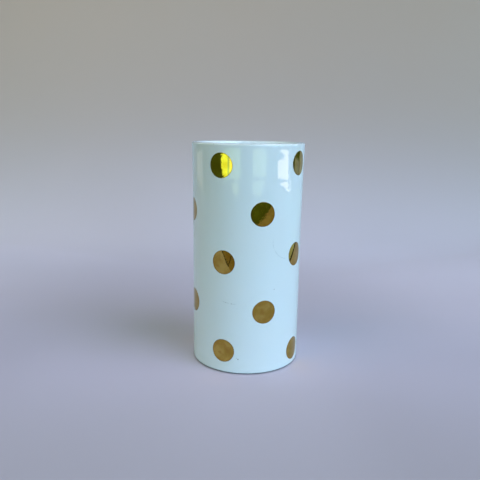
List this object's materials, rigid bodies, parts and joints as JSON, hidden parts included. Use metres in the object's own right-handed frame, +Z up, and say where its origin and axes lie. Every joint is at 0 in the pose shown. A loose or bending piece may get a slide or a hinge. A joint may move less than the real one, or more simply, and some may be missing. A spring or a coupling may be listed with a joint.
{
  "type": "cylinder vase",
  "caption": "Tall round cylinder vase in white glazed porcelain with staggered rows of mirror gold dots, for cut flowers or dry stems.",
  "frame": {"origin": "centre of the foot, in the plane that the vase stands on", "axes": "+Z up along the vase's axis; -Y is the front, +X the right as seen from the front"},
  "size_m": [0.1018, 0.1018, 0.2032],
  "materials": {
    "porcelain_glaze": "clear glossy glaze over cool white porcelain, bare on the foot ring",
    "gold_lustre": "mirror bright fired gold lustre"
  },
  "bodies": {
    "root": {"vase_body": "porcelain_glaze", "gold_dot_r1_1": "gold_lustre", "gold_dot_r1_2": "gold_lustre", "gold_dot_r1_3": "gold_lustre", "gold_dot_r1_4": "gold_lustre", "gold_dot_r2_1": "gold_lustre", "gold_dot_r2_2": "gold_lustre", "gold_dot_r2_3": "gold_lustre", "gold_dot_r2_4": "gold_lustre", "gold_dot_r3_1": "gold_lustre", "gold_dot_r3_2": "gold_lustre", "gold_dot_r3_3": "gold_lustre", "gold_dot_r3_4": "gold_lustre", "gold_dot_r4_1": "gold_lustre", "gold_dot_r4_2": "gold_lustre", "gold_dot_r4_3": "gold_lustre", "gold_dot_r4_4": "gold_lustre", "gold_dot_r5_1": "gold_lustre", "gold_dot_r5_2": "gold_lustre", "gold_dot_r5_3": "gold_lustre", "gold_dot_r5_4": "gold_lustre"}
  },
  "joints": []
}
